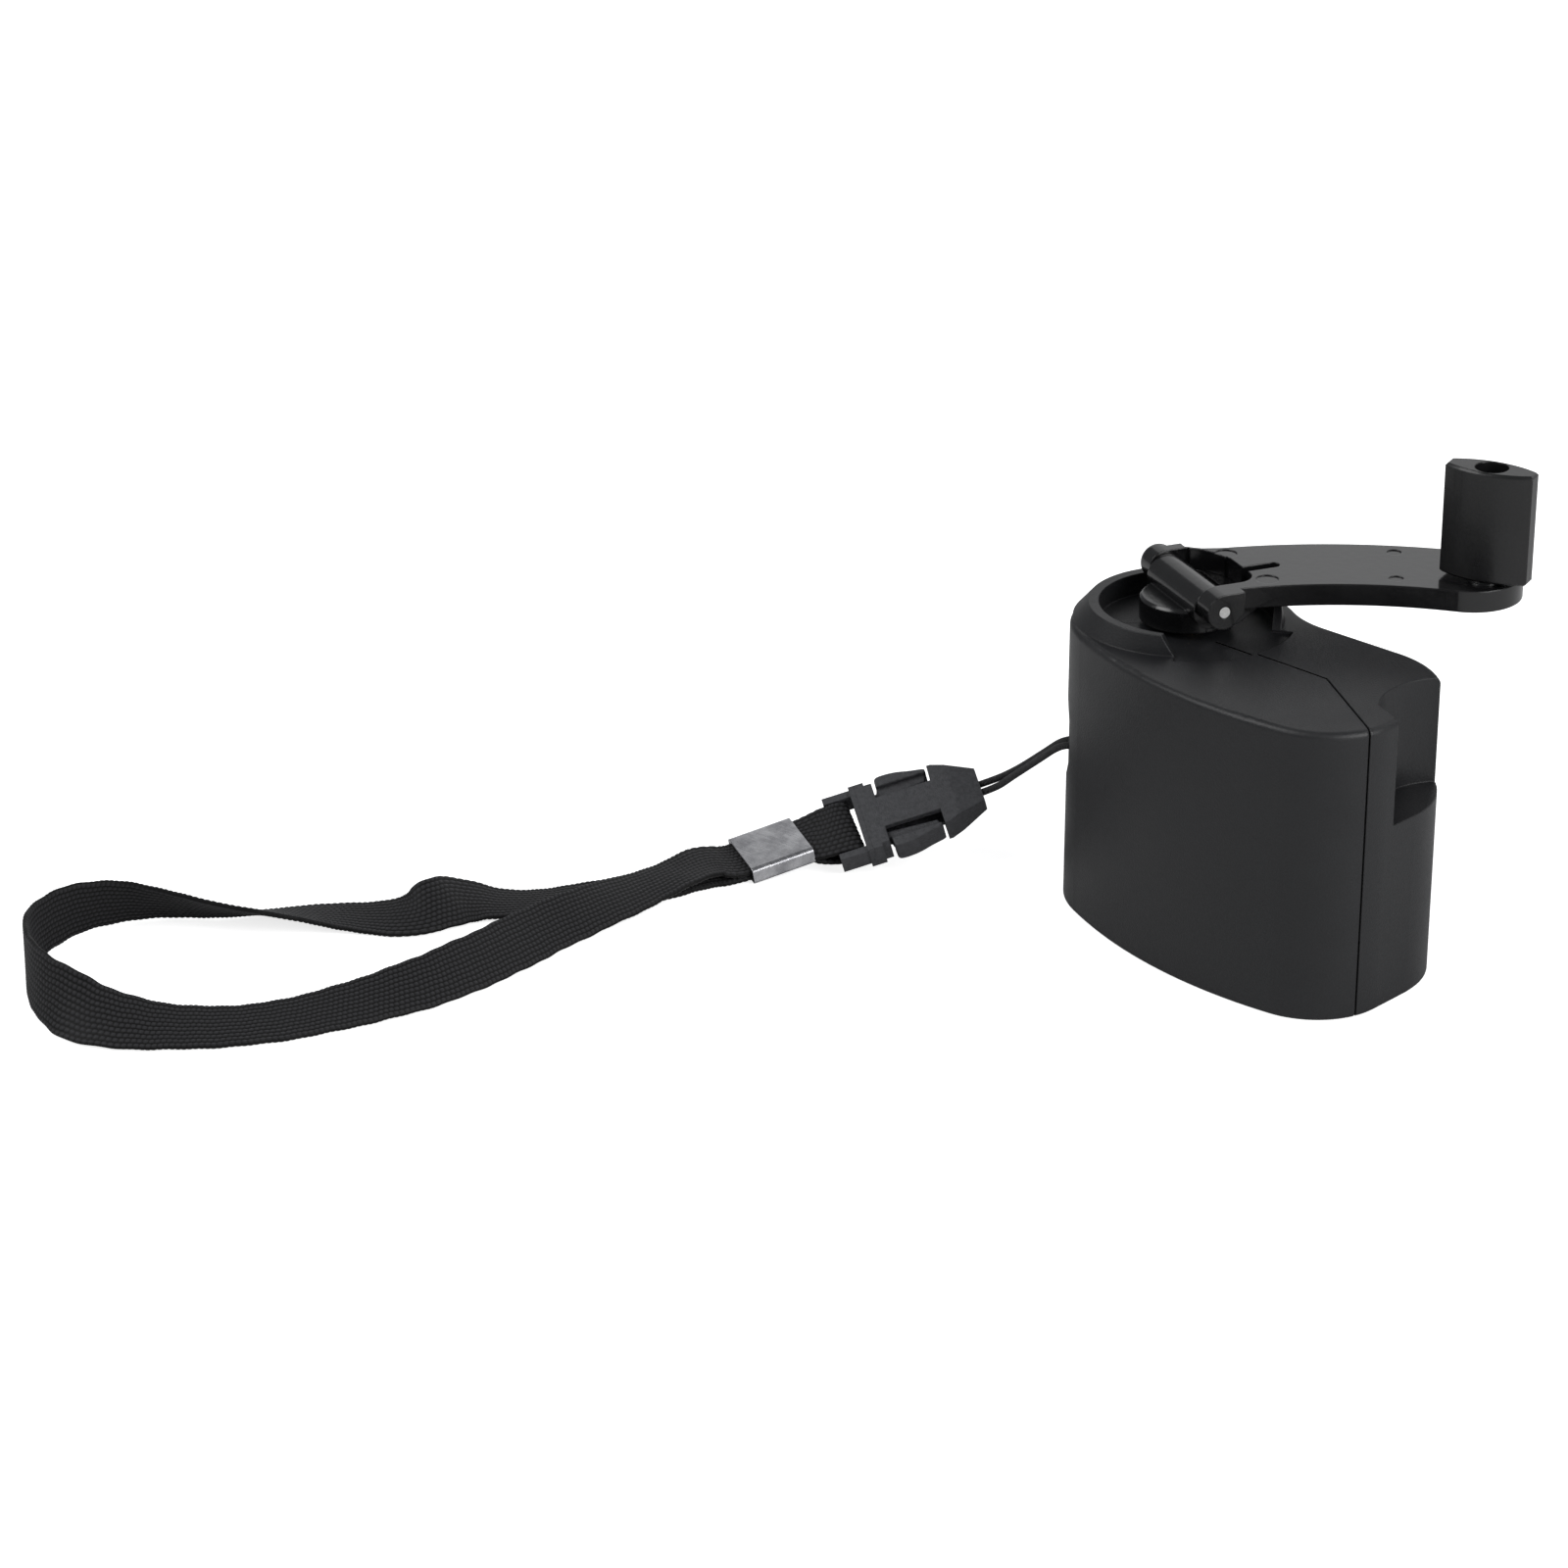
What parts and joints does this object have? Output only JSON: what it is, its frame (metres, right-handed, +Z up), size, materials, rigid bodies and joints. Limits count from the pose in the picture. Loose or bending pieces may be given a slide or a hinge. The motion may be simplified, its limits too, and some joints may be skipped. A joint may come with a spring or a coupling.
{
  "type": "hand crank phone charger",
  "caption": "Pocket-sized hand crank generator for charging a phone, with a folding crank, a turning knob, a socket and a buckled wrist lanyard.",
  "frame": {"origin": "where the crank axis meets the flat bottom of the housing", "axes": "+Z up along the crank axis, +X from the hub end to the tail of the housing, +Y to its waist side"},
  "size_m": [0.1579, 0.1826, 0.071],
  "materials": {
    "body_plastic": "finely textured",
    "crank_plastic": "glossy",
    "knob_plastic": "satin gloss",
    "bright_steel": "bright",
    "zinc_steel": "zinc plated",
    "gear_plastic": "natural",
    "bronze": "sintered",
    "brass": "machined",
    "can_steel": "drawn",
    "magnet": "ground ferrite",
    "laminations": "stacked sheet",
    "copper": "enamelled wire",
    "cap_plastic": "moulded",
    "board_laminate": "solder resist",
    "chip_plastic": "moulded",
    "ferrite": "pressed",
    "capacitor_sleeve": "sleeved",
    "tongue_plastic": "moulded",
    "gold_plate": "plated",
    "red_lead": "insulated wire",
    "black_lead": "insulated wire",
    "black_cord": "braided",
    "black_webbing": "ribbed",
    "buckle_plastic": "lightly textured",
    "crimp_metal": "plated"
  },
  "bodies": {
    "housing": {"front_shell": "body_plastic", "rear_shell": "body_plastic", "shell_screws": "zinc_steel", "hub_bushing": "bronze", "gear_plate_lower": "chip_plastic", "gear_plate_upper": "chip_plastic", "plate_spacers": "brass", "plate_screws": "zinc_steel", "gear_axles": "bright_steel", "motor_can": "can_steel", "motor_end_cap": "cap_plastic", "motor_magnets": "magnet", "brush_springs": "brass", "motor_screws": "zinc_steel", "circuit_board": "board_laminate", "board_screws": "zinc_steel", "usb_shell": "bright_steel", "usb_tongue": "tongue_plastic", "usb_contacts": "gold_plate", "capacitor": "capacitor_sleeve", "inductor": "ferrite", "rectifier_diodes": "chip_plastic", "regulator_chip": "chip_plastic", "motor_lead_red": "red_lead", "motor_lead_black": "black_lead", "lanyard_cord": "black_cord", "buckle_socket": "buckle_plastic", "buckle_plug": "buckle_plastic", "strap_tab": "black_webbing", "strap_crimp": "crimp_metal", "wrist_strap": "black_webbing"},
    "crank": {"crank_hub": "crank_plastic", "crank_shaft": "zinc_steel", "drive_gear": "gear_plastic", "shaft_clip": "zinc_steel"},
    "arm": {"crank_arm": "crank_plastic", "hinge_pin": "bright_steel", "knob_screw": "zinc_steel"},
    "grip": {"knob": "knob_plastic"},
    "second": {"second_gear": "gear_plastic"},
    "third": {"third_gear": "gear_plastic"},
    "rotor": {"rotor_core": "laminations", "rotor_windings": "copper", "rotor_shaft": "bright_steel", "commutator": "copper", "motor_pinion": "brass"},
    "prong_left": {"buckle_prong_left": "buckle_plastic"},
    "prong_right": {"buckle_prong_right": "buckle_plastic"}
  },
  "joints": [
    {"name": "crank_spin", "type": "hinge", "parent": "housing", "child": "crank", "pos_m": [0, 0, 0.045], "axis": [0, 0, 1], "continuous": true},
    {"name": "arm_fold", "type": "hinge", "parent": "crank", "child": "arm", "pos_m": [0, 0, 0.0508], "axis": [0.9135, -0.4067, 0], "range_deg": [0, 180]},
    {"name": "knob_spin", "type": "hinge", "parent": "arm", "child": "grip", "pos_m": [0.03471, 0.0262, 0.054], "axis": [0, 0, 1], "continuous": true},
    {"name": "second_gear_spin", "type": "hinge", "parent": "housing", "child": "second", "pos_m": [0.01456, -0.00682, 0.033], "axis": [0, 0, 1], "continuous": true},
    {"name": "third_gear_spin", "type": "hinge", "parent": "housing", "child": "third", "pos_m": [0.02428, 0.00193, 0.03], "axis": [0, 0, 1], "continuous": true},
    {"name": "rotor_spin", "type": "hinge", "parent": "housing", "child": "rotor", "pos_m": [0.03017, -0.00524, 0.024], "axis": [0, 0, 1], "continuous": true},
    {"name": "prong_left_press", "type": "hinge", "parent": "housing", "child": "prong_left", "pos_m": [-0.04433, -0.02268, 0.00798], "axis": [-0.2108, 0.4831, -0.8498], "range_deg": [0, 6], "stiffness_Nm_per_rad": 0.02},
    {"name": "prong_right_press", "type": "hinge", "parent": "housing", "child": "prong_right", "pos_m": [-0.03893, -0.02585, 0.00484], "axis": [0.2108, -0.4831, 0.8498], "range_deg": [0, 6], "stiffness_Nm_per_rad": 0.02}
  ],
  "couplings": [
    {"joint": "second_gear_spin", "follows": "crank_spin", "ratio": -4.3333},
    {"joint": "third_gear_spin", "follows": "crank_spin", "ratio": 14.444},
    {"joint": "rotor_spin", "follows": "crank_spin", "ratio": -52}
  ]
}
